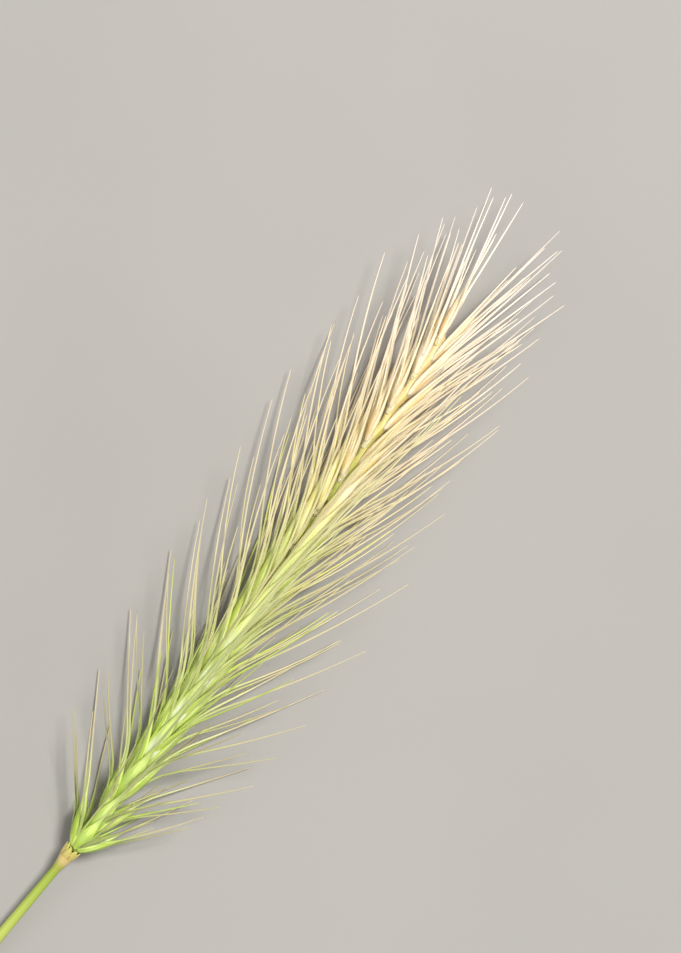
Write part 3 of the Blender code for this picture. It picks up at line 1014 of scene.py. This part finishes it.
def stem_material():
    """Olive green, deeper just below the pale tan cup, and pale inside the cut."""
    nodes = Nodes("stem", Roughness=0.36, Coat_Weight=0.2, Coat_Roughness=0.25)
    reach = nodes.value("reach")

    # The reach is 0 at the cut, 1 at the cup and more on its lobes, so the ramp takes half of it.
    colour = nodes.ramp(
        nodes.times(reach, 0.5),
        (0.0, 184, 196, 98),
        (0.3, 178, 192, 84),
        (0.45, 144, 168, 42),
        (0.472, 158, 160, 50),
        (0.484, 210, 182, 118),
        (0.52, 206, 174, 104),
        (0.66, 198, 180, 92),
        (0.75, 196, 198, 96),
    )
    blotch = nodes.add("ShaderNodeTexNoise")
    nodes.put(STEM_GRAIN, blotch.inputs["Scale"])
    blotched = nodes.spread(blotch.outputs["Fac"], 0.4, 0.65, 0, 0.35)
    colour = nodes.mix(blotched, colour, display(204, 208, 118))
    colour = nodes.mix(nodes.spread(nodes.value("edge"), 0.3, 0.7), colour, display(226, 220, 168))
    return nodes.finish(colour, blotch.outputs["Fac"], 0.00002)


def build():
    """Grows both zones of the ear, and the straw below them."""
    draw = random.Random(SEED)
    fine = random.Random(FINE_SEED)
    materials = {
        "husks": husk_material(),
        "glumes": glume_material(),
        "hairs": hair_material(),
        "rachis": rachis_material(),
        "scales": scale_material(),
    }
    straw_start = joint_at(GREEN_NODES) - STRAW_START
    zones = (
        ("green", range(GREEN_NODES), RACHIS_START, GREEN_FLOOR),
        ("straw", range(GREEN_NODES, NODE_COUNT), straw_start, STRAW_FLOOR),
    )
    for zone, numbers, start, floor in zones:
        node = "ear_" + zone
        grown = {name: Growth() for name in materials}
        for number in numbers:
            triplet(number, floor, draw, fine, grown)
        if numbers[0] == 0:
            triplet(LOWEST, floor, random.Random(SEED + 1), random.Random(FINE_SEED + 1), grown)
        rachis(grown["rachis"], grown["hairs"], numbers, start, fine)
        scales(grown["scales"], grown["hairs"], numbers, fine)
        for name, growth in grown.items():
            growth.finish(f"{name}_{zone}", node, node, materials[name])
    stem(fine).finish("straw_stem", "stem", "stem", stem_material())


def stage():
    """A plain pale floor, soft light, and the camera straight above."""
    mesh = bpy.data.meshes.new("floor")
    half = FLOOR_SIDE / 2
    corners = [(-half, -half, 0), (half, -half, 0), (half, half, 0), (-half, half, 0)]
    mesh.from_pydata(corners, [], [(0, 1, 2, 3)])
    floor = bpy.data.objects.new("floor", mesh)
    bpy.context.scene.collection.objects.link(floor)
    floor.location.z = -FLOOR_DROP
    nodes = Nodes("floor", Roughness=0.85)
    noise = nodes.add("ShaderNodeTexNoise")
    nodes.put(FLOOR_GRAIN, noise.inputs["Scale"])
    colour = nodes.ramp(noise.outputs["Fac"], (0.3, 160, 156, 150), (0.7, 164, 160, 154))
    mesh.materials.append(nodes.finish(colour))

    world = bpy.data.worlds.new("studio")
    world.use_nodes = True
    background = world.node_tree.nodes["Background"]
    background.inputs["Color"].default_value = (0.94, 0.97, 1, 1)
    background.inputs["Strength"].default_value = WORLD_LIGHT
    bpy.context.scene.world = world
    bpy.context.scene.view_settings.view_transform = "Standard"

    for name, place, size, power in LAMPS:
        light = bpy.data.lights.new(name, "AREA")
        light.shape = "DISK"
        light.size = size
        light.energy = power
        lamp = bpy.data.objects.new(name, light)
        bpy.context.scene.collection.objects.link(lamp)
        lamp.location = place
        lamp.rotation_euler = (-Vector(place)).to_track_quat("-Z", "Y").to_euler()

    camera = bpy.data.cameras.new("camera")
    camera.sensor_width = CAMERA_SENSOR
    camera.lens = CAMERA_LENS
    camera.clip_start = CAMERA_NEAR
    eye = bpy.data.objects.new("camera", camera)
    bpy.context.scene.collection.objects.link(eye)
    eye.location = (CAMERA_ALONG + EAR_SHIFT.x, EAR_SHIFT.y, CAMERA_HEIGHT)
    eye.rotation_euler = (0, 0, math.radians(CAMERA_TURN))
    bpy.context.scene.camera = eye


build()
stage()
